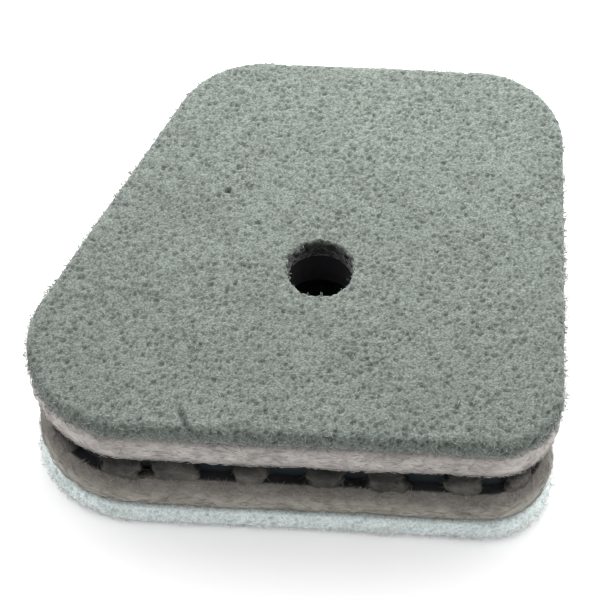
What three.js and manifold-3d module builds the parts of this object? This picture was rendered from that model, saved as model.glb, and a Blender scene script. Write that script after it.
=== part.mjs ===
// Flat two-sided air filter for a small two-stroke engine.
//
// From the bottom up it is a sandwich: foam, felt, hollow plastic core, felt, foam. The core is a
// closed rim with a grid in each side, and a felt band runs round the rim. Dirty air passes through
// both faces into the core, and clean air leaves through the centre hole. Units are millimetres.
// +Z is up, the long straight side faces -Y, and the slanted side faces -X. The origin is on the
// underside, at the centre of the plan's bounding box.
import * as THREE from "three";
import { mergeVertices } from "three/addons/utils/BufferGeometryUtils.js";
import Module from "manifold-3d";

const wasm = await Module();
wasm.setup();

// ---- Plan: a right trapezoid with round corners. Sides are measured to the sharp corners. ----
const FRONT_SIDE = 90;
const BACK_SIDE = 58;
const DEPTH = 72.4;
const CORNER_RADII = { frontLeft: 16, frontRight: 10.5, backRight: 14, backLeft: 15.5 };
const HOLE = { x: 52.3, y: 30.6, radius: 5.35 };

// ---- Layers, from the bottom up. All are multiples of 1/4 mm, so that stacked faces meet exactly. ----
const FOAM_THICKNESS = 4;
const FELT_THICKNESS = 7.25;
const CORE_THICKNESS = 6;
const CORE_BASE = FOAM_THICKNESS + FELT_THICKNESS;
const CORE_MIDDLE = CORE_BASE + CORE_THICKNESS / 2;
const CORE_TOP = CORE_BASE + CORE_THICKNESS;
const HEIGHT = CORE_BASE + CORE_TOP;

// ---- Soft pads: how far each edge stands in from the plan's outline, and its rounding ----
const FOAM_INSET = -0.4;
const FOAM_ROUND = 1.5;
const FELT_INSET = 0;
const FELT_ROUND = 1.5;
const FELT_HOLE_RADIUS = HOLE.radius + 0.2;
const ROUND_STEPS = 3;

// ---- Edge band: a felt strip with evenly spaced openings ----
const BAND_INSET = 1.4;
const BAND_THICKNESS = 1.6;
const BAND_OPENINGS = 25;
const BAND_FIRST_OPENING = 0.2;
const BAND_OPENING_WIDTH = 6;
const BAND_OPENING_HEIGHT = 5;

// ---- Core: a closed rim, and two grids that meet at mid-height and are pegged together ----
const FIT_CLEARANCE = 0.3;
const RIM_INSET = BAND_INSET + BAND_THICKNESS + FIT_CLEARANCE;
const RIM_THICKNESS = 1.4;
const GRID_INSET = RIM_INSET + RIM_THICKNESS + FIT_CLEARANCE;
const RIB_PITCH = 8.5;
const RIB_WIDTH = 1.2;
const RIB_LOW = 0.25;
const RIB_HIGH = 1.5;
const RAIL_WIDTH = 1.5;
const RAIL_HEIGHT = 1.75;
const HUB_BORE_RADIUS = 6.6;
const HUB_RADIUS = 8.4;
const HUB_WINDOWS = 6;
const HUB_WINDOW_WIDTH = 4;
const POST_RADIUS = 1.9;
const POST_SIDES = 8;
const POST_TO_RIM = 4;
const POST_TO_HOLE = 13;
const PEG_RADIUS = 0.9;
const PEG_LENGTH = 1.5;

const ARC_STEPS = 5;
const ROUND_SIDES = 32;

// ------------------------------------------------------------------ plan

const CORNERS = [
  { at: new THREE.Vector2(0, 0), radius: CORNER_RADII.frontLeft },
  { at: new THREE.Vector2(FRONT_SIDE, 0), radius: CORNER_RADII.frontRight },
  { at: new THREE.Vector2(FRONT_SIDE, DEPTH), radius: CORNER_RADII.backRight },
  { at: new THREE.Vector2(FRONT_SIDE - BACK_SIDE, DEPTH), radius: CORNER_RADII.backLeft },
];

// The round corners of the outline moved in by inset, each as a curve.
function cornerArcs(inset, origin) {
  return CORNERS.map((corner, i) => {
    const before = CORNERS[(i + 3) % 4].at.clone().sub(corner.at).normalize();
    const after = CORNERS[(i + 1) % 4].at.clone().sub(corner.at).normalize();
    const reach = corner.radius / Math.sin(before.angleTo(after) / 2);
    const bisector = before.clone().add(after).normalize();
    const centre = corner.at.clone().addScaledVector(bisector, reach).sub(origin);
    const start = Math.atan2(-before.y, -before.x) - Math.PI / 2;
    const end = Math.atan2(after.y, after.x) - Math.PI / 2;
    const radius = corner.radius - inset;
    return new THREE.EllipseCurve(centre.x, centre.y, radius, radius, start, end, false);
  });
}

const planBox = new THREE.Box2();
for (const arc of cornerArcs(0, new THREE.Vector2())) {
  arc.getPoints(64).forEach((point) => planBox.expandByPoint(point));
}
const PLAN_CENTRE = planBox.getCenter(new THREE.Vector2());
const PLAN_SIZE = planBox.getSize(new THREE.Vector2());
const HOLE_CENTRE = new THREE.Vector2(HOLE.x, HOLE.y).sub(PLAN_CENTRE);

// The filter's outline as a closed shape about the origin, moved in by inset.
function outline(inset) {
  const shape = new THREE.Shape();
  const arcs = cornerArcs(inset, PLAN_CENTRE);
  arcs.forEach((arc, i) => {
    const next = arcs[(i + 1) % arcs.length];
    shape.curves.push(arc, new THREE.LineCurve(arc.getPoint(1), next.getPoint(0)));
  });
  return shape;
}

// ------------------------------------------------------------------ solids

function extrude(shape, bottom, top, round = 0) {
  const geometry = new THREE.ExtrudeGeometry(shape, {
    depth: top - bottom - 2 * round,
    curveSegments: ARC_STEPS,
    bevelEnabled: round > 0,
    bevelThickness: round,
    bevelSize: round,
    bevelOffset: -round,
    bevelSegments: ROUND_STEPS,
  });
  return toSolid(geometry.translate(0, 0, bottom + round));
}

function column(centre, radius, bottom, top, sides = ROUND_SIDES) {
  const geometry = new THREE.CylinderGeometry(radius, radius, top - bottom, sides);
  geometry.rotateX(Math.PI / 2);
  return toSolid(geometry.translate(centre.x, centre.y, (bottom + top) / 2));
}

function block(sizeX, sizeY, bottom, top, centre, turn = 0) {
  const geometry = new THREE.BoxGeometry(sizeX, sizeY, top - bottom);
  return toSolid(geometry.rotateZ(turn).translate(centre.x, centre.y, (bottom + top) / 2));
}

function toSolid(geometry) {
  geometry.deleteAttribute("normal");
  geometry.deleteAttribute("uv");
  const merged = mergeVertices(geometry);
  return new wasm.Manifold(
    new wasm.Mesh({
      numProp: 3,
      vertProperties: merged.attributes.position.array,
      triVerts: new Uint32Array(merged.index.array),
    }),
  );
}

function toGeometry(solid) {
  const mesh = solid.getMesh();
  const geometry = new THREE.BufferGeometry();
  geometry.setAttribute("position", new THREE.BufferAttribute(mesh.vertProperties, 3));
  geometry.setIndex(new THREE.BufferAttribute(mesh.triVerts, 1));
  const faceted = geometry.toNonIndexed();
  faceted.computeVertexNormals();
  return faceted;
}

// ------------------------------------------------------------------ soft pads

// A pad with soft outer edges and the centre hole cut through it.
function pad(inset, bottom, thickness, round, holeRadius) {
  const slab = extrude(outline(inset), bottom, bottom + thickness, round);
  return slab.subtract(column(HOLE_CENTRE, holeRadius, bottom - 1, bottom + thickness + 1));
}

const foamPad = (bottom) => pad(FOAM_INSET, bottom, FOAM_THICKNESS, FOAM_ROUND, HOLE.radius);
const feltPad = (bottom) => pad(FELT_INSET, bottom, FELT_THICKNESS, FELT_ROUND, FELT_HOLE_RADIUS);

// ------------------------------------------------------------------ edge band

function edgeBand() {
  const ring = outline(BAND_INSET);
  ring.holes.push(outline(BAND_INSET + BAND_THICKNESS));
  const middleLine = outline(BAND_INSET + BAND_THICKNESS / 2);
  const low = CORE_MIDDLE - BAND_OPENING_HEIGHT / 2;
  const high = CORE_MIDDLE + BAND_OPENING_HEIGHT / 2;
  let band = extrude(ring, CORE_BASE, CORE_TOP);
  for (let i = 0; i < BAND_OPENINGS; i++) {
    const place = (i + BAND_FIRST_OPENING) / BAND_OPENINGS;
    const along = middleLine.getTangentAt(place);
    const turn = Math.atan2(along.y, along.x);
    const centre = middleLine.getPointAt(place);
    band = band.subtract(block(BAND_OPENING_WIDTH, 3 * BAND_THICKNESS, low, high, centre, turn));
  }
  return band;
}

// ------------------------------------------------------------------ core

// Places a whole number of rib pitches from the hole, that stay clear of the rail on a plan this wide.
function ribPlaces(hole, width) {
  const places = [];
  const reach = width / 2 - GRID_INSET - 2 * RIB_WIDTH;
  const first = Math.ceil((-reach - hole) / RIB_PITCH);
  for (let i = first; hole + i * RIB_PITCH < reach; i++) places.push(hole + i * RIB_PITCH);
  return places;
}

const RIB_X = ribPlaces(HOLE_CENTRE.x, PLAN_SIZE.x);
const RIB_Y = ribPlaces(HOLE_CENTRE.y, PLAN_SIZE.y);

// Posts stand where every second pair of ribs cross, clear of the rim and of the hub.
function postCentres() {
  const room = outline(GRID_INSET + POST_TO_RIM).getPoints(ARC_STEPS);
  const isInside = (p) => room.every((a, i) => {
    const b = room[(i + 1) % room.length];
    return (b.x - a.x) * (p.y - a.y) >= (b.y - a.y) * (p.x - a.x);
  });
  const isSecond = (place, i) => i % 2 === 0;
  const crossings = RIB_X.filter(isSecond).flatMap((x) => {
    return RIB_Y.filter(isSecond).map((y) => new THREE.Vector2(x, y));
  });
  return crossings.filter((p) => isInside(p) && p.distanceTo(HOLE_CENTRE) > POST_TO_HOLE);
}

const POSTS = postCentres();

function coreRim() {
  const ring = outline(RIM_INSET);
  ring.holes.push(outline(RIM_INSET + RIM_THICKNESS));
  return extrude(ring, CORE_BASE, CORE_TOP);
}

// One grid: a rail with ribs across it, a hub notched for air, and posts up to the other grid.
// Its felt side is at feltFace, and inward is 1 or -1, the way from there to the core's middle.
function grid(feltFace, inward) {
  const levels = (near, far) => [feltFace + inward * near, feltFace + inward * far].sort((a, b) => a - b);
  const railLevels = levels(0, RAIL_HEIGHT);
  const ribLevels = levels(RIB_LOW, RIB_HIGH);
  const postLevels = levels(0, CORE_THICKNESS / 2);
  const notchLevels = levels(RAIL_HEIGHT, CORE_THICKNESS / 2 + 1);
  const railShape = outline(GRID_INSET);
  railShape.holes.push(outline(GRID_INSET + RAIL_WIDTH));
  const room = extrude(outline(GRID_INSET + RAIL_WIDTH / 2), ...railLevels);
  let solid = extrude(railShape, ...railLevels);
  for (const x of RIB_X) {
    const rib = block(RIB_WIDTH, 2 * DEPTH, ...ribLevels, { x, y: 0 });
    solid = solid.add(rib.intersect(room));
  }
  for (const y of RIB_Y) {
    const rib = block(2 * FRONT_SIDE, RIB_WIDTH, ...ribLevels, { x: 0, y });
    solid = solid.add(rib.intersect(room));
  }
  for (const post of POSTS) {
    solid = solid.add(column(post, POST_RADIUS, ...postLevels, POST_SIDES));
  }
  let hub = column(HOLE_CENTRE, HUB_RADIUS, ...postLevels);
  for (let i = 0; i < HUB_WINDOWS / 2; i++) {
    const turn = ((i + 0.5) * 2 * Math.PI) / HUB_WINDOWS;
    hub = hub.subtract(block(3 * HUB_RADIUS, HUB_WINDOW_WIDTH, ...notchLevels, HOLE_CENTRE, turn));
  }
  return solid.add(hub).subtract(column(HOLE_CENTRE, HUB_BORE_RADIUS, CORE_BASE - 1, CORE_TOP + 1));
}

function lowerGrid() {
  let solid = grid(CORE_BASE, 1);
  const pegBottom = CORE_MIDDLE - PEG_LENGTH / 2;
  const pegTop = CORE_MIDDLE + PEG_LENGTH;
  for (const post of POSTS) {
    solid = solid.add(column(post, PEG_RADIUS, pegBottom, pegTop, POST_SIDES));
  }
  return solid;
}

function upperGrid() {
  let solid = grid(CORE_TOP, -1);
  const socketTop = CORE_MIDDLE + PEG_LENGTH + FIT_CLEARANCE;
  for (const post of POSTS) {
    const socket = column(post, PEG_RADIUS + FIT_CLEARANCE, CORE_MIDDLE - 1, socketTop, POST_SIDES);
    solid = solid.subtract(socket);
  }
  return solid;
}

// ------------------------------------------------------------------ assembly

const foam = new THREE.MeshStandardMaterial({ color: 0x8e988e, roughness: 1, metalness: 0 });
const felt = new THREE.MeshStandardMaterial({ color: 0xb4aca6, roughness: 1, metalness: 0 });
const bandFelt = new THREE.MeshStandardMaterial({ color: 0x8b867c, roughness: 1, metalness: 0 });
const corePlastic = new THREE.MeshStandardMaterial({ color: 0x18242a, roughness: 0.5, metalness: 0 });

const pieces = [
  ["lower_foam_pad", foamPad(0), foam],
  ["lower_felt_pad", feltPad(FOAM_THICKNESS), felt],
  ["lower_core_grid", lowerGrid(), corePlastic],
  ["upper_core_grid", upperGrid(), corePlastic],
  ["core_rim", coreRim(), corePlastic],
  ["edge_felt_band", edgeBand(), bandFelt],
  ["upper_felt_pad", feltPad(CORE_TOP), felt],
  ["upper_foam_pad", foamPad(HEIGHT - FOAM_THICKNESS), foam],
];

const filter = new THREE.Group();
for (const [name, solid, material] of pieces) {
  const mesh = new THREE.Mesh(toGeometry(solid), material);
  mesh.name = name;
  filter.add(mesh);
}

export default filter;
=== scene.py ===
"""Flat two-sided air filter: foam and felt on both faces of a hollow plastic core.

The core's rim and grids keep their CAD meshes. The foam pads, the felt pads and the edge band stand for
plain CAD solids, and are made here with their cells, fibres, bulges and worn edges.
Shapes are worked out in millimetres, and become metres when they are made into objects.
"""

import math

import bmesh
import bpy
import numpy as np
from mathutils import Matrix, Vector, noise


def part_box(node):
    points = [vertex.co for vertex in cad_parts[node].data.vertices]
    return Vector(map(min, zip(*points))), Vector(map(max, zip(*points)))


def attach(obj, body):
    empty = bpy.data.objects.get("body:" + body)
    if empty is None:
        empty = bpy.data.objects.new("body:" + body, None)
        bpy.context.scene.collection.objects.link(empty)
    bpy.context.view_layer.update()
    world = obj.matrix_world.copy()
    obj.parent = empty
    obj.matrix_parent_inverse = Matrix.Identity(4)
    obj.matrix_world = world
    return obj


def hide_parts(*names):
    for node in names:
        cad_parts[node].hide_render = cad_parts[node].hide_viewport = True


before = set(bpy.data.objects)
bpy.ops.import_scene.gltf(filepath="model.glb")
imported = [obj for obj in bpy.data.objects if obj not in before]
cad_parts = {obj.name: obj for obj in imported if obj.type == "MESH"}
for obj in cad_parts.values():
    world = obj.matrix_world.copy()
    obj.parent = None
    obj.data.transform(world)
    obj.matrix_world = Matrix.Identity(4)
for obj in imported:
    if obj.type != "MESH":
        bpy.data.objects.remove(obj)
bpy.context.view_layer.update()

MM = 0.001

# ---- Plan, to the sharp corners: (x, y, corner radius), anticlockwise from the front left ----
CORNERS = ((0, 0, 16), (90, 0, 10.5), (90, 72.4, 14), (32, 72.4, 15.5))
ARC_STEPS = 90
HOLE_IN_PLAN = (52.3, 30.6)
HOLE_RADIUS = 5.35

# ---- Pads. out is how far the side stands past the plan, depth how far its rounding goes in, and power
# how square the rounding is. spacing and steps are the mesh's, round the plan and down the side ----
FOAM_SHAPE = {
    "out": 0.4, "depth": 1.5, "power": 2.3,
    "hole_radius": HOLE_RADIUS - 0.25, "hole_depth": 0.35,
    "spacing": 0.5, "steps": 17,
}
FELT_SHAPE = {
    "out": 0.0, "depth": 2.2, "power": 2.0,
    "hole_radius": HOLE_RADIUS + 0.2, "hole_depth": 0.4,
    "spacing": 0.3, "steps": 33,
}
FLAT_WITHIN = 0.01

# ---- Uneven surfaces: noise layers that are added up, as (size, height) ----
FOAM_LUMPS = ((14.0, 0.2), (4.0, 0.08), (0.6, 0.08))
FELT_LUMPS = ((12.0, 0.2), (3.0, 0.12), (0.8, 0.06))
BAND_LUMPS = ((5.0, 0.25), (1.1, 0.3))
OPENING_RAGGED = ((2.2, 1.2), (0.8, 0.6))
# How far each seed moves the noise, along x, y and z.
SEED_STEPS = (17.3, 5.1, 9.7)

# ---- Loose strands. lean is how far they tilt at random, and along_z under 1 lays them flatter.
# length, lift and radius are ranges ----
STRUTS = {
    "count": 3000, "lean": 0.5, "along_z": 1.0,
    "length": (0.4, 1.1), "lift": (0.05, 0.35), "radius": (0.04, 0.08), "stations": 3,
}
FELT_FIBRES = {
    "count": 4500, "lean": 0.15, "along_z": 0.4,
    "length": (0.8, 2.6), "lift": (0.0, 0.28), "radius": (0.03, 0.055), "stations": 5,
}
BAND_FIBRES = {
    "count": 4000, "lean": 0.4, "along_z": 0.8,
    "length": (0.8, 2.8), "lift": (0.0, 0.8), "radius": (0.045, 0.08), "stations": 5,
}
CURL = 0.18
TAPER = 0.6

# ---- Foam cells. Pit values run from LEVEL_PIT on the foam's face to 1 in a deep cell ----
FOAM_VOXEL = 0.3
FOAM_CELL = 0.92
CELL_WALL = 0.55
CELL_BEND = 0.4
CELL_BEND_SIZE = 0.9
CELL_BEND_SEEDS = (31, 32, 33)
CELL_SCATTER = 3.7
PIT_DEPTH = 0.34
LEVEL_PIT = 0.2
SHALLOW_PIT = 0.55
UNDERSIDE_LIFT = 0.28
UNDERSIDE_FACING = (0.3, 0.9)
FREE_FROM_FELT = (0.05, 0.6)
ON_FELT_WITHIN = 0.02

# ---- Where struts stand on the foam: mostly on its sides, and off pits, felt and painted shade ----
STRUT_MAX_PIT = 0.4
STRUT_MIN_FREE = 0.9
STRUT_MAX_SHADE = 0.3
STRUT_SHARE_ON_FACE = 0.06
EXTRA_LIFT_ON_SIDE = 1.8

# ---- Wear on the upper foam: a nick across its front edge, and one torn cell ----
NICK_PLACE = np.array((-15.8, -34.4))
NICK_DIRECTION = np.array((0.41, -0.91))
NICK_ACROSS = (0.1, 0.7)
NICK_ALONG = (1.0, 3.0)
NICK_DEPTH = 0.7
NICK_PIT = 0.9
TORN_CELL = np.array((-12.4, 8.8))
TORN_REACH = (0.25, 0.65)
TORN_DEPTH = 0.8

# ---- Painted shade in the hole, between the pads, in creases and at the band's openings: how much there is, and the distances over which it comes or goes ----
FOAM_HOLE_SHADE = (0.0, 0.9)
FOAM_HOLE_SHADE_DEPTH = (0.1, 1.1)
FELT_HOLE_SHADE = (0.3, 1.2)
GAP_SHADE = (0.02, 0.25)
GAP_EDGE_SHADE = (0.8, 3.6)
GAP_EDGE_AMOUNT = 0.5
CREASE_SHADE = (0.3, 1.8)
CREASE_AMOUNT = 0.55
OPENING_SHADE = (0.0, 0.9)
OPENING_AMOUNT = 0.85
UNDER_FELT_SHADE = (-2.0, 1.5)
UNDER_FELT_AMOUNT = 0.75
FIBRE_MAX_GAP_SHADE = 0.5
FIBRE_MAX_HOLE_SHADE = 0.1

# ---- Edge band ----
BAND_STEP = 0.25
BAND_INTO_FELT = 0.7
BAND_INSET = 1.4
BAND_THICKNESS = 1.6
BAND_OPENINGS = 25
BAND_FIRST_OPENING = 0.2
BAND_SMOOTHINGS = 2
BAND_FIBRE_REACH = 2.9
OPENING_WIDTH = 5.2
OPENING_HEIGHT = 8.0
OPENING_DENT = 0.6
OPENING_DENT_REACH = (0.0, 1.2)
HIDDEN_STRIP = 3.3
# Openings that loose fibres have partly closed, by their number from the front left corner.
OVERGROWN = {3: 2.0, 6: 1.0}

# ---- Colours, as (dark, light) ----
# The dark colour of each foam is painted shade, deep in its cells.
GREY_FOAM = ((0.052, 0.059, 0.053), (0.122, 0.139, 0.123))
# The lower foam is the same foam as the upper one, painted paler: painted light.
PAINTED_LIT_FOAM = ((0.42, 0.475, 0.47), (0.64, 0.715, 0.705))
UPPER_FELT = ((0.325, 0.302, 0.287), (0.44, 0.413, 0.392))
# The lower felt is the same felt as the upper one, painted darker: painted shade under the upper half.
SHADED_LOWER_FELT = ((0.215, 0.202, 0.179), (0.315, 0.298, 0.267))
# The band is felt like the pads, painted very dark: painted shade in the gap between the pads.
SHADED_BAND_FELT = ((0.022, 0.022, 0.02), (0.11, 0.105, 0.092))
PLASTIC = ((0.005, 0.009, 0.011), (0.009, 0.016, 0.02))
PAPER = ((0.87, 0.87, 0.87), (0.89, 0.89, 0.89))
# Painted shade darkens colours towards this.
PAINTED_SHADE_COLOUR = (0.06, 0.062, 0.078)
# Loose strands are painted brighter than the foam's face: painted light on the strands.
LOOSE_GLOW = 1.5
BRIGHTEST = 0.95

# ---- Finish ----
SHEEN_ROUGHNESS = 0.35
SPECULAR_LEVEL = 0.2

# ---- Light ----
TENT_LIGHT = 2.1
FRONT_LIGHT = 0.55
FRONT_TO_TENT = (-0.85, 0.1)
BACK_LIGHT = 0.36
FLOOR_REACH = 3


# ------------------------------------------------------------------ plan

def corner_arcs():
    """Each round corner as (centre, radius, start angle, end angle)."""
    arcs = []
    for i, (x, y, radius) in enumerate(CORNERS):
        here = np.array((x, y), float)
        before = np.array(CORNERS[i - 1][:2]) - here
        after = np.array(CORNERS[(i + 1) % len(CORNERS)][:2]) - here
        before /= np.linalg.norm(before)
        after /= np.linalg.norm(after)
        half = math.acos(before @ after) / 2
        bisector = (before + after) / np.linalg.norm(before + after)
        start = math.atan2(-before[1], -before[0]) - math.pi / 2
        end = math.atan2(after[1], after[0]) - math.pi / 2
        if end < start:
            end += 2 * math.pi
        arcs.append((here + bisector * radius / math.sin(half), radius, start, end))
    return arcs


def arc_points():
    """The points of every round corner, with their outward normals and the centre of their box."""
    points = []
    normals = []
    for centre, radius, start, end in corner_arcs():
        angles = np.linspace(start, end, ARC_STEPS)
        rays = np.stack((np.cos(angles), np.sin(angles)), 1)
        points.append(centre + radius * rays)
        normals.append(rays)
    points = np.concatenate(points)
    return points, np.concatenate(normals), (points.min(0) + points.max(0)) / 2


def outline(spacing):
    """Points spaced evenly round the outline, with their outward normals."""
    points, normals, centre = arc_points()
    points -= centre
    closed = np.vstack((points, points[:1]))
    closed_normals = np.vstack((normals, normals[:1]))
    steps = np.linalg.norm(np.diff(closed, axis=0), axis=1)
    travel = np.concatenate(((0,), np.cumsum(steps)))
    count = round(travel[-1] / spacing)
    places = np.arange(count) / count * travel[-1]
    even = np.stack([np.interp(places, travel, closed[:, k]) for k in (0, 1)], 1)
    out = np.stack([np.interp(places, travel, closed_normals[:, k]) for k in (0, 1)], 1)
    return even, out / np.linalg.norm(out, axis=1, keepdims=True)


HOLE = np.array(HOLE_IN_PLAN) - arc_points()[2]


def from_hole(verts):
    """Distance from the edge of the centre hole."""
    return np.linalg.norm(verts[:, :2] - HOLE, axis=1) - HOLE_RADIUS


def layer(node):
    """The lowest and highest z of a CAD node, in millimetres."""
    low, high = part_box(node)
    return low.z / MM, high.z / MM


# ------------------------------------------------------------------ meshes as arrays

def side_profile(low, high, depth, power, steps):
    """(distance in, z) down a rounded side: a superellipse from the top face to the bottom face."""
    angles = np.linspace(math.pi / 2, -math.pi / 2, steps)
    half = (high - low) / 2
    inward = depth * (1 - np.abs(np.cos(angles)) ** (2 / power))
    z = (low + high) / 2 + half * np.sign(np.sin(angles)) * np.abs(np.sin(angles)) ** (2 / power)
    return inward, z


def sweep(points, normals, inward, z):
    """A closed ring of faces: the profile carried round the points. inward is along -normal."""
    columns = len(points)
    rows = len(z)
    flat = points[:, None, :] - normals[:, None, :] * inward[None, :, None]
    heights = np.broadcast_to(z[None, :, None], (columns, rows, 1))
    return np.concatenate((flat, heights), 2).reshape(-1, 3), ring_faces(columns, rows)


def ring_faces(columns, rows):
    """Faces of a grid of (column, row) whose last column joins its first."""
    column, row = np.meshgrid(np.arange(columns), np.arange(rows - 1), indexing="ij")
    a = column * rows + row
    b = ((column + 1) % columns) * rows + row
    return np.stack((a, a + 1, b + 1, b), -1).reshape(-1, 4)


def circle(centre, radius, count):
    """Points round a circle, with normals that point into the material around it."""
    angles = np.linspace(0, -2 * math.pi, count, endpoint=False)
    rays = np.stack((np.cos(angles), np.sin(angles)), 1)
    return centre + radius * rays, -rays


def joined(parts):
    """Several (verts, faces) as one."""
    verts = []
    faces = []
    offset = 0
    for part_verts, part_faces in parts:
        verts.append(part_verts)
        faces.extend([int(i) + offset for i in face] for face in part_faces)
        offset += len(part_verts)
    return np.concatenate(verts), faces


def to_mesh(name, verts, faces, scale=1.0):
    """A mesh from points, scaled, and faces as lists of their numbers."""
    mesh = bpy.data.meshes.new(name)
    mesh.from_pydata((np.asarray(verts) * scale).tolist(), [], faces)
    mesh.update()
    return mesh


def capped(mesh):
    """Close a mesh's open loops with flat faces at their own heights."""
    work = bmesh.new()
    work.from_mesh(mesh)
    open_edges = [e for e in work.edges if e.is_boundary]
    for level in sorted({round(e.verts[0].co.z, 3) for e in open_edges}):
        loop = [e for e in open_edges if round(e.verts[0].co.z, 3) == level]
        bmesh.ops.triangle_fill(work, use_beauty=True, edges=loop)
    bmesh.ops.recalc_face_normals(work, faces=work.faces)
    work.to_mesh(mesh)
    work.free()
    return mesh


def arrays(mesh):
    """A mesh's points and their normals."""
    verts = np.empty(len(mesh.vertices) * 3)
    mesh.vertices.foreach_get("co", verts)
    normals = np.empty(len(mesh.vertices) * 3, np.float32)
    mesh.vertex_normals.foreach_get("vector", normals)
    return verts.reshape(-1, 3), normals.reshape(-1, 3).astype(float)


def face_lists(mesh):
    return [list(polygon.vertices) for polygon in mesh.polygons]


def remeshed(mesh, voxel):
    """A copy of a closed mesh, made of even faces about one voxel wide."""
    holder = bpy.data.objects.new("remesh", mesh)
    bpy.context.collection.objects.link(holder)
    modifier = holder.modifiers.new("remesh", "REMESH")
    modifier.mode = "VOXEL"
    modifier.voxel_size = voxel
    evaluated = holder.evaluated_get(bpy.context.evaluated_depsgraph_get())
    shaped = bpy.data.meshes.new_from_object(evaluated)
    bpy.data.objects.remove(holder)
    return shaped


def pad_solid(name, low, high, out, depth, power, hole_radius, hole_depth, spacing, steps):
    """A pad with a rounded side and a rounded hole, as one closed mesh."""
    points, normals = outline(spacing)
    inward, z = side_profile(low, high, depth, power, steps)
    outer = sweep(points + normals * out, normals, inward, z)
    hole_points, hole_normals = circle(HOLE, hole_radius, round(2 * math.pi * hole_radius / spacing))
    inward, z = side_profile(low, high, hole_depth, power, steps)
    inner = sweep(hole_points, hole_normals, inward, z)
    return capped(to_mesh(name, *joined((outer, inner))))


def set_values(mesh, name, values):
    """Keep one number for each point of a mesh."""
    data = mesh.attributes.new(name, "FLOAT", "POINT").data
    data.foreach_set("value", values.astype(np.float32))


def get_values(mesh, name):
    values = np.empty(len(mesh.vertices), np.float32)
    mesh.attributes[name].data.foreach_get("value", values)
    return values


# ------------------------------------------------------------------ noise

def field(points, size, seed):
    """Smooth noise from about -1 to 1, with features of the given size."""
    shift = Vector([seed * step for step in SEED_STEPS])
    return np.array([noise.noise(Vector(p) / size + shift) for p in points])


def lumps(points, layers, seed):
    """Noise of several sizes added up, from (size, height) layers."""
    return sum(field(points, size, seed + i) * height for i, (size, height) in enumerate(layers))


def smooth(values, low, high):
    """0 up to low, then rising smoothly to 1 at high."""
    t = np.clip((values - low) / (high - low), 0, 1)
    return t * t * (3 - 2 * t)


def fading(values, low, high):
    """1 up to low, then falling smoothly to 0 at high."""
    return 1 - smooth(values, low, high)


# ------------------------------------------------------------------ fibres and struts

def strands(roots, directions, outward, length, lift, radius, rng, stations):
    """Thin three-sided strands that leave the surface, arch by lift and come back towards it."""
    count = len(roots)
    along = np.linspace(-0.5, 0.5, stations)
    side = np.cross(outward, directions)
    curl = rng.normal(0, CURL, (count, 1, 1)) * length[:, None, None]
    arch = 1 - 4 * along ** 2
    middle = (roots[:, None, :]
              + directions[:, None, :] * (along[None, :, None] * length[:, None, None])
              + outward[:, None, :] * (arch[None, :, None] * lift[:, None, None])
              + side[:, None, :] * (curl * (along ** 2)[None, :, None]))
    taper = radius[:, None] * (1 - TAPER * np.abs(2 * along)[None, :])
    rings = []
    for corner in range(3):
        turn = corner * 2 * math.pi / 3
        offset = side * math.cos(turn) + outward * math.sin(turn)
        rings.append(middle + offset[:, None, :] * taper[:, :, None])
    verts = np.stack(rings, 2).reshape(-1, 3)
    base = (np.arange(count) * stations * 3)[:, None]
    faces = []
    for station in range(stations - 1):
        for corner in range(3):
            a = station * 3 + corner
            b = station * 3 + (corner + 1) % 3
            faces.append(base + np.array((a, b, b + 3, a + 3)))
    quads = np.concatenate(faces).tolist()
    last = (stations - 1) * 3
    ends = np.concatenate((base + np.array((2, 1, 0)), base + np.array((last, last + 1, last + 2))))
    return verts, quads + ends.tolist()


def unit(vectors):
    return vectors / np.maximum(np.linalg.norm(vectors, axis=1, keepdims=True), 1e-9)


def tangents(outward, rng, along_z):
    """Random directions in the surface. along_z under 1 lays them flatter."""
    random = rng.normal(size=outward.shape)
    random[:, 2] *= along_z
    random -= outward * np.sum(random * outward, 1, keepdims=True)
    return unit(random)


def rooted(verts, normals, rng, kind, extra_lift=1.0):
    """Strands of one kind, one on each of the given points."""
    count = kind["count"]
    outward = unit(normals + rng.normal(0, kind["lean"], (count, 3)))
    directions = tangents(outward, rng, kind["along_z"])
    length = rng.uniform(*kind["length"], count)
    lift = rng.uniform(*kind["lift"], count) * extra_lift
    radius = rng.uniform(*kind["radius"], count)
    return strands(verts, directions, outward, length, lift, radius, rng, kind["stations"])


# ------------------------------------------------------------------ materials

def new_material(name, roughness, sheen=0.0):
    material = bpy.data.materials.new(name)
    material.use_nodes = True
    tree = material.node_tree
    shader = tree.nodes["Principled BSDF"]
    shader.inputs["Roughness"].default_value = roughness
    shader.inputs["Sheen Weight"].default_value = sheen
    shader.inputs["Sheen Roughness"].default_value = SHEEN_ROUGHNESS
    shader.inputs["Specular IOR Level"].default_value = SPECULAR_LEVEL
    coordinates = tree.nodes.new("ShaderNodeTexCoord")
    return material, tree, shader, coordinates.outputs["Object"]


def noise_node(tree, place, size, detail=2.0, stretch=None):
    """Noise with features of the given size, in millimetres."""
    texture = tree.nodes.new("ShaderNodeTexNoise")
    texture.inputs["Scale"].default_value = 1 / (size * MM)
    texture.inputs["Detail"].default_value = detail
    if stretch is not None:
        mapping = tree.nodes.new("ShaderNodeMapping")
        mapping.inputs["Scale"].default_value = stretch
        tree.links.new(place, mapping.inputs["Vector"])
        place = mapping.outputs["Vector"]
    tree.links.new(place, texture.inputs["Vector"])
    return texture.outputs["Fac"]


def ramp(tree, value, *stops):
    """A colour for each value, from (position, colour) stops."""
    node = tree.nodes.new("ShaderNodeValToRGB")
    elements = node.color_ramp.elements
    while len(elements) < len(stops):
        elements.new(0.5)
    for element, (position, colour) in zip(elements, stops):
        element.position = position
        element.color = (*colour, 1)
    tree.links.new(value, node.inputs["Fac"])
    return node.outputs["Color"]


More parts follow.
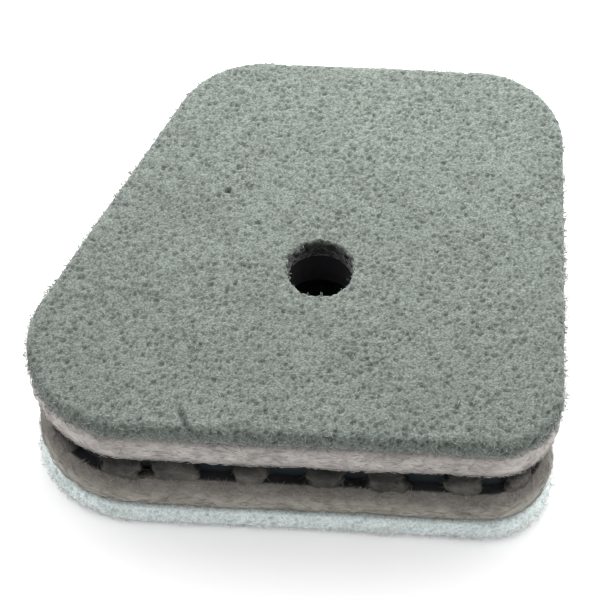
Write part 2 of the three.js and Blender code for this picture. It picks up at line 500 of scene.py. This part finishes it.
def multiplied(tree, colour, other):
    """Two colours multiplied. A Mix node's sockets share names, so they are taken by their identifiers."""
    node = tree.nodes.new("ShaderNodeMix")
    node.data_type = "RGBA"
    node.blend_type = "MULTIPLY"
    sockets = {socket.identifier: socket for socket in node.inputs}
    sockets["Factor_Float"].default_value = 1.0
    tree.links.new(colour, sockets["A_Color"])
    tree.links.new(other, sockets["B_Color"])
    return next(socket for socket in node.outputs if socket.identifier == "Result_Color")


def mottled(tree, colour, value, *stops):
    """A colour made darker and lighter by a value, from (position, level) stops."""
    greys = [(position, (level, level, level)) for position, level in stops]
    return multiplied(tree, colour, ramp(tree, value, *greys))


def bump(tree, shader, *layers):
    """Bump from (height, distance in mm) pairs, one on the other."""
    last = None
    for height, distance in layers:
        node = tree.nodes.new("ShaderNodeBump")
        node.inputs["Distance"].default_value = distance * MM
        node.inputs["Strength"].default_value = 1.0
        tree.links.new(height, node.inputs["Height"])
        if last is not None:
            tree.links.new(last, node.inputs["Normal"])
        last = node.outputs["Normal"]
    tree.links.new(last, shader.inputs["Normal"])


def attribute(tree, name):
    node = tree.nodes.new("ShaderNodeAttribute")
    node.attribute_name = name
    return node.outputs["Fac"]


def painted_shading(tree, colour):
    """Darken a colour by painted shade, where the mesh's shade attribute is high."""
    shade_tint = ramp(tree, attribute(tree, "painted_shade"), (0.0, (1, 1, 1)), (1.0, PAINTED_SHADE_COLOUR))
    return multiplied(tree, colour, shade_tint)


def foam_material(name, colours, sheen, contrast):
    """The pit attribute is 0 on loose strands, LEVEL_PIT on the foam's face and 1 in a deep cell. Deeper
    cells are painted darker: painted shade.
    """
    material, tree, shader, place = new_material(name, roughness=1.0, sheen=sheen)
    pit_colour, strut_colour = colours
    # Loose strands get a brighter colour: painted light.
    loose_glow_colour = tuple(min(LOOSE_GLOW * channel, BRIGHTEST) for channel in strut_colour)
    stops = ((0.0, loose_glow_colour), (LEVEL_PIT, strut_colour), (1.0, pit_colour))
    colour = ramp(tree, attribute(tree, "pit"), *stops)
    patches = noise_node(tree, place, size=9.0)
    colour = mottled(tree, colour, patches, (0.3, 0.94), (0.7, 1.05))
    grain = noise_node(tree, place, size=0.33)
    colour = mottled(tree, colour, grain, (0.38, 1 - contrast), (0.62, 1 + contrast))
    tree.links.new(painted_shading(tree, colour), shader.inputs["Base Color"])
    bump(tree, shader, (noise_node(tree, place, size=0.3), 0.2))
    return material


def felt_material(name, colours, sheen):
    """Blotches, and fine streaks that run along the sides."""
    material, tree, shader, place = new_material(name, roughness=1.0, sheen=sheen)
    dark, light = colours
    blotches = noise_node(tree, place, size=4.0, detail=3.0)
    fibres = noise_node(tree, place, size=0.25, detail=3.0, stretch=(0.35, 0.35, 1.0))
    colour = ramp(tree, blotches, (0.3, dark), (0.7, light))
    colour = mottled(tree, colour, fibres, (0.3, 0.8), (0.7, 1.15))
    tree.links.new(painted_shading(tree, colour), shader.inputs["Base Color"])
    bump(tree, shader, (fibres, 0.1), (noise_node(tree, place, size=0.9), 0.12))
    return material


def plastic_material(name, colours):
    """Dull moulded plastic, faintly mottled."""
    material, tree, shader, place = new_material(name, roughness=0.7)
    dark, light = colours
    colour = ramp(tree, noise_node(tree, place, size=2.0), (0.3, dark), (0.7, light))
    tree.links.new(colour, shader.inputs["Base Color"])
    bump(tree, shader, (noise_node(tree, place, size=0.4), 0.03))
    return material


def paper_material(name, colours):
    material, tree, shader, place = new_material(name, roughness=0.9)
    dark, light = colours
    colour = ramp(tree, noise_node(tree, place, size=60.0), (0.3, dark), (0.7, light))
    tree.links.new(colour, shader.inputs["Base Color"])
    return material


# ------------------------------------------------------------------ pieces

def finished(name, verts, faces, loose, values):
    """A mesh in metres, with its loose strands, and each named value on its points. Strands take 0."""
    all_verts, all_faces = joined(((verts, faces), loose))
    all_verts[:, 2] = np.clip(all_verts[:, 2], 0, None)
    mesh = to_mesh(name, all_verts, all_faces, MM)
    on_strands = np.zeros(len(all_verts) - len(verts))
    for key, value in values.items():
        set_values(mesh, key, np.concatenate((value, on_strands)))
    return mesh


def add_piece(name, mesh, material, node):
    """The object that stands for a CAD node."""
    mesh.materials.append(material)
    for polygon in mesh.polygons:
        polygon.use_smooth = True
    piece = bpy.data.objects.new(name, mesh)
    bpy.context.collection.objects.link(piece)
    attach(piece, "root")
    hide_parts(node)


def foam_cells(points):
    """How deep each point lies in a foam cell: 0 on a strut, up to 1 in the middle of a deep pit."""
    walls = np.empty(len(points))
    deepness = np.empty(len(points))
    bends = np.stack([field(points, CELL_BEND_SIZE, seed) for seed in CELL_BEND_SEEDS], 1)
    for i, point in enumerate(points + bends * CELL_BEND):
        distances, centres = noise.voronoi(Vector(point) / FOAM_CELL)
        walls[i] = distances[1] - distances[0]
        deepness[i] = abs(noise.cell(centres[0] * CELL_SCATTER))
    return smooth(walls, 0.0, CELL_WALL) * (SHALLOW_PIT + (1 - SHALLOW_PIT) * deepness)


def coarse_side(mesh, level):
    """Swap the fine faces of the side that lies on the felt for a few large ones."""
    work = bmesh.new()
    work.from_mesh(mesh)
    hidden = [f for f in work.faces if all(abs(v.co.z - level) < ON_FELT_WITHIN for v in f.verts)]
    bmesh.ops.delete(work, geom=hidden, context="FACES")
    loop = [e for e in work.edges if e.is_boundary]
    bmesh.ops.triangle_fill(work, use_beauty=True, edges=loop)
    work.to_mesh(mesh)
    work.free()


def wear_marks(verts):
    """How much each point belongs to the nick in the front edge, and to the torn cell."""
    offset = verts[:, :2] - NICK_PLACE
    across = NICK_DIRECTION[::-1] * (1, -1)
    nick = fading(np.abs(offset @ across), *NICK_ACROSS)
    nick *= fading(np.abs(offset @ NICK_DIRECTION), *NICK_ALONG)
    torn = fading(np.linalg.norm(verts[:, :2] - TORN_CELL, axis=1), *TORN_REACH)
    return nick, torn


def strut_roots(pits, free, painted_shade, on_side, rng):
    """The numbers of random points of the foam for its struts to stand on."""
    allowed = (pits < STRUT_MAX_PIT) & (free > STRUT_MIN_FREE) & (painted_shade < STRUT_MAX_SHADE)
    weight = np.where(allowed, STRUT_SHARE_ON_FACE + on_side, 0)
    return rng.choice(len(pits), STRUTS["count"], p=weight / weight.sum())


def foam_pad(node, faces_up, material, seed):
    """A pad of open cells, with loose struts on it. Only the one that faces up is worn."""
    name = node + "_foam"
    low, high = layer(node)
    on_felt, face = (low, high) if faces_up else (high, low)
    mesh = remeshed(pad_solid(name, low, high, **FOAM_SHAPE), FOAM_VOXEL)
    coarse_side(mesh, on_felt)
    verts, normals = arrays(mesh)
    free = smooth(np.abs(verts[:, 2] - on_felt), *FREE_FROM_FELT)
    pits = foam_cells(verts)
    height = lumps(verts, FOAM_LUMPS, seed) - pits * PIT_DEPTH
    if faces_up:
        nick, torn = wear_marks(verts)
        height -= nick * NICK_DEPTH + torn * TORN_DEPTH
        # The nick and the torn cell also take the dark pit colour: painted shade in them.
        pits = np.maximum(pits, np.maximum(nick * NICK_PIT, torn))
    else:
        height -= UNDERSIDE_LIFT * smooth(-normals[:, 2], *UNDERSIDE_FACING)
    # Painted shade inside the centre hole, stronger further below the pad's face.
    below_face = np.abs(verts[:, 2] - face)
    painted_shade = fading(from_hole(verts), *FOAM_HOLE_SHADE) * smooth(below_face, *FOAM_HOLE_SHADE_DEPTH)
    verts = verts + normals * (height * free)[:, None]
    rng = np.random.default_rng(seed)
    on_side = 1 - np.abs(normals[:, 2])
    roots = strut_roots(pits, free, painted_shade, on_side, rng)
    extra_lift = 1 + EXTRA_LIFT_ON_SIDE * on_side[roots]
    struts = rooted(verts[roots], normals[roots], rng, STRUTS, extra_lift)
    values = {"pit": LEVEL_PIT + (1 - LEVEL_PIT) * pits, "painted_shade": painted_shade}
    shaped = finished(name, verts, face_lists(mesh), struts, values)
    add_piece(name, shaped, material, node)


def felt_pad(node, core_side, material, seed):
    """core_side is the z of the face that lies on the core."""
    name = node + "_felt"
    low, high = layer(node)
    mesh = pad_solid(name, low, high, **FELT_SHAPE)
    verts, normals = arrays(mesh)
    flat = (verts[:, 2] < low + FLAT_WITHIN) | (verts[:, 2] > high - FLAT_WITHIN)
    from_core = np.abs(verts[:, 2] - core_side)
    from_foam = np.abs(verts[:, 2] - (low + high - core_side))
    # Painted shade: in the centre hole, on the face in the gap between the pads, down the side towards
    # that gap, and in the crease under the foam.
    in_hole = fading(from_hole(verts), *FELT_HOLE_SHADE)
    in_gap = fading(from_core, *GAP_SHADE)
    at_gap_edge = GAP_EDGE_AMOUNT * fading(from_core, *GAP_EDGE_SHADE)
    in_crease = CREASE_AMOUNT * fading(from_foam, *CREASE_SHADE)
    painted_shade = np.maximum.reduce((in_hole, in_gap, at_gap_edge, in_crease))
    verts = verts + normals * np.where(flat, 0, lumps(verts, FELT_LUMPS, seed))[:, None]
    rng = np.random.default_rng(seed)
    clean = (in_gap < FIBRE_MAX_GAP_SHADE) & (in_hole < FIBRE_MAX_HOLE_SHADE)
    roots = rng.choice(np.flatnonzero(~flat & clean), FELT_FIBRES["count"])
    fibres = rooted(verts[roots], normals[roots], rng, FELT_FIBRES)
    shaped = finished(name, verts, face_lists(mesh), fibres, {"painted_shade": painted_shade})
    add_piece(name, shaped, material, node)


def band_grid(low, high):
    """The strip round the core as a grid of points, their outward normals, and its columns and rows."""
    points, normals = outline(BAND_STEP)
    columns = len(points)
    rows = round((high - low) / BAND_STEP) + 1
    verts = np.column_stack((np.repeat(points, rows, 0), np.tile(np.linspace(low, high, rows), columns)))
    outward = np.column_stack((np.repeat(normals, rows, 0), np.zeros(len(verts))))
    return verts, outward, columns, rows


def outside_openings(verts, upwards, columns, rows, seed):
    """How far each point of the strip lies outside its nearest opening. Inside one it is under 0."""
    around = np.repeat(np.arange(columns) / columns * BAND_OPENINGS - BAND_FIRST_OPENING, rows)
    sideways = np.abs(around - np.round(around)) * (columns * BAND_STEP / BAND_OPENINGS)
    overgrown = np.zeros(len(verts))
    for opening, amount in OVERGROWN.items():
        overgrown[np.round(around) == opening] = amount
    square = np.maximum(sideways - OPENING_WIDTH / 2, upwards - OPENING_HEIGHT / 2)
    return square + lumps(verts, OPENING_RAGGED, seed) + overgrown


def shell(name, outer, inner, quads):
    """A front and a back made of the same quads, joined along every open edge."""
    count = len(outer)
    back = quads[:, ::-1] + count
    edges = {}
    for quad in quads:
        for a, b in zip(quad, np.roll(quad, -1)):
            key = (min(a, b), max(a, b))
            edges[key] = None if key in edges else (a, b)
    rim = [[b, a, a + count, b + count] for a, b in filter(None, edges.values())]
    return to_mesh(name, np.concatenate((outer, inner)), quads.tolist() + back.tolist() + rim)


def soften(mesh):
    """Drop the points that no face uses, and smooth the rest."""
    work = bmesh.new()
    work.from_mesh(mesh)
    loose = [v for v in work.verts if not v.link_faces]
    bmesh.ops.delete(work, geom=loose, context="VERTS")
    axes = {"use_axis_x": True, "use_axis_y": True, "use_axis_z": True}
    for _ in range(BAND_SMOOTHINGS):
        bmesh.ops.smooth_vert(work, verts=work.verts, factor=0.5, **axes)
    work.to_mesh(mesh)
    work.free()


def edge_band(node, material, seed):
    """The strip round the core, with ragged openings."""
    name = node + "_fuzz"
    low, high = layer(node)
    low -= BAND_INTO_FELT
    high += BAND_INTO_FELT
    middle = (low + high) / 2
    verts, outward, columns, rows = band_grid(low, high)
    upwards = np.abs(verts[:, 2] - middle)
    outside = outside_openings(verts, upwards, columns, rows, seed)
    # Painted shade in and round the openings, and darker towards the band's top, under the upper felt.
    at_openings = OPENING_AMOUNT * fading(outside, *OPENING_SHADE)
    under_felt = UNDER_FELT_AMOUNT * smooth(verts[:, 2] - middle, *UNDER_FELT_SHADE)
    dent = OPENING_DENT * fading(outside, *OPENING_DENT_REACH)
    inset = BAND_INSET + dent - lumps(verts, BAND_LUMPS, seed + len(OPENING_RAGGED))
    outer = verts - outward * inset[:, None]
    inner = verts - outward * (BAND_INSET + BAND_THICKNESS)
    keep = (outside > 0) | (upwards > HIDDEN_STRIP)
    quads = ring_faces(columns, rows)
    mesh = shell(name, outer, inner, quads[keep[quads].all(1)])
    set_values(mesh, "painted_shade", np.tile(np.maximum(at_openings, under_felt), 2))
    soften(mesh)
    verts, normals = arrays(mesh)
    rng = np.random.default_rng(seed)
    in_reach = np.flatnonzero(np.abs(verts[:, 2] - middle) < BAND_FIBRE_REACH)
    roots = rng.choice(in_reach, BAND_FIBRES["count"])
    fibres = rooted(verts[roots], normals[roots], rng, BAND_FIBRES)
    shaped = finished(name, verts, face_lists(mesh), fibres, {"painted_shade": get_values(mesh, "painted_shade")})
    add_piece(name, shaped, material, node)


# ------------------------------------------------------------------ studio

def look_at(thing, target):
    thing.rotation_euler = (Vector(target) - thing.location).to_track_quat("-Z", "Y").to_euler()


def add_camera():
    elevation = math.radians(55)
    yaw = math.radians(-3.42)
    distance = 0.394
    target = Vector((-0.0009, 0.0081, 0))
    level = math.cos(elevation)
    forward = Vector((math.sin(yaw) * level, math.cos(yaw) * level, -math.sin(elevation)))
    camera = bpy.data.objects.new("camera", bpy.data.cameras.new("camera"))
    camera.data.sensor_width = 36
    camera.data.lens = 140
    camera.data.clip_start = 0.01
    camera.location = target - forward * distance
    bpy.context.collection.objects.link(camera)
    look_at(camera, target)
    bpy.context.scene.camera = camera


def add_light(name, place, target, size, power):
    data = bpy.data.lights.new(name, "AREA")
    data.shape = "SQUARE"
    data.size = size
    data.energy = power
    light = bpy.data.objects.new(name, data)
    light.location = place
    bpy.context.collection.objects.link(light)
    look_at(light, target)


def add_world():
    """A light tent: bright overhead, at the sides and behind, and open and dim towards the front."""
    world = bpy.data.worlds.new("tent")
    world.use_nodes = True
    tree = world.node_tree
    direction = tree.nodes.new("ShaderNodeTexCoord")
    split = tree.nodes.new("ShaderNodeSeparateXYZ")
    strength = tree.nodes.new("ShaderNodeMapRange")
    strength.interpolation_type = "SMOOTHSTEP"
    start, end = FRONT_TO_TENT
    limits = {"From Min": start, "From Max": end, "To Min": FRONT_LIGHT, "To Max": TENT_LIGHT}
    for name, number in limits.items():
        strength.inputs[name].default_value = number
    tree.links.new(direction.outputs["Generated"], split.inputs["Vector"])
    tree.links.new(split.outputs["Y"], strength.inputs["Value"])
    background = tree.nodes["Background"]
    background.inputs["Color"].default_value = (1, 1, 1, 1)
    tree.links.new(strength.outputs["Result"], background.inputs["Strength"])
    bpy.context.scene.world = world


def add_floor():
    """A wide sheet of white paper."""
    signs = ((-1, -1), (1, -1), (1, 1), (-1, 1))
    corners = [(x * FLOOR_REACH, y * FLOOR_REACH, 0) for x, y in signs]
    mesh = to_mesh("floor", corners, [(0, 1, 2, 3)])
    mesh.materials.append(paper_material("floor_paper", PAPER))
    floor = bpy.data.objects.new("floor", mesh)
    bpy.context.collection.objects.link(floor)


def add_studio():
    add_world()
    add_floor()
    add_light("back_softbox", place=(0.02, 0.1, 0.11), target=(0, 0, 0), size=0.12, power=BACK_LIGHT)
    bpy.context.scene.view_settings.view_transform = "Standard"


# ------------------------------------------------------------------ scene

add_camera()

grey_foam = foam_material("grey_foam", GREY_FOAM, sheen=0.5, contrast=0.28)
# The lower pad's foam is painted paler than the upper pad's: painted light.
painted_lit_foam = foam_material("painted_lit_foam", PAINTED_LIT_FOAM, sheen=0.1, contrast=0.12)
upper_felt = felt_material("upper_felt", UPPER_FELT, sheen=0.1)
# The lower felt is painted darker than the upper felt: painted shade.
lower_felt = felt_material("lower_felt", SHADED_LOWER_FELT, sheen=0.1)
# The band's felt is painted very dark: painted shade in the gap.
band_felt = felt_material("band_felt", SHADED_BAND_FELT, sheen=0.0)
plastic = plastic_material("core_plastic", PLASTIC)

core_bottom, core_top = layer("core_rim")
foam_pad("upper_foam_pad", True, grey_foam, seed=3)
foam_pad("lower_foam_pad", False, painted_lit_foam, seed=11)
felt_pad("upper_felt_pad", core_top, upper_felt, seed=5)
felt_pad("lower_felt_pad", core_bottom, lower_felt, seed=7)
edge_band("edge_felt_band", band_felt, seed=9)
for node in ("core_rim", "lower_core_grid", "upper_core_grid"):
    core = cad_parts[node]
    core.data.materials.clear()
    core.data.materials.append(plastic)

add_studio()
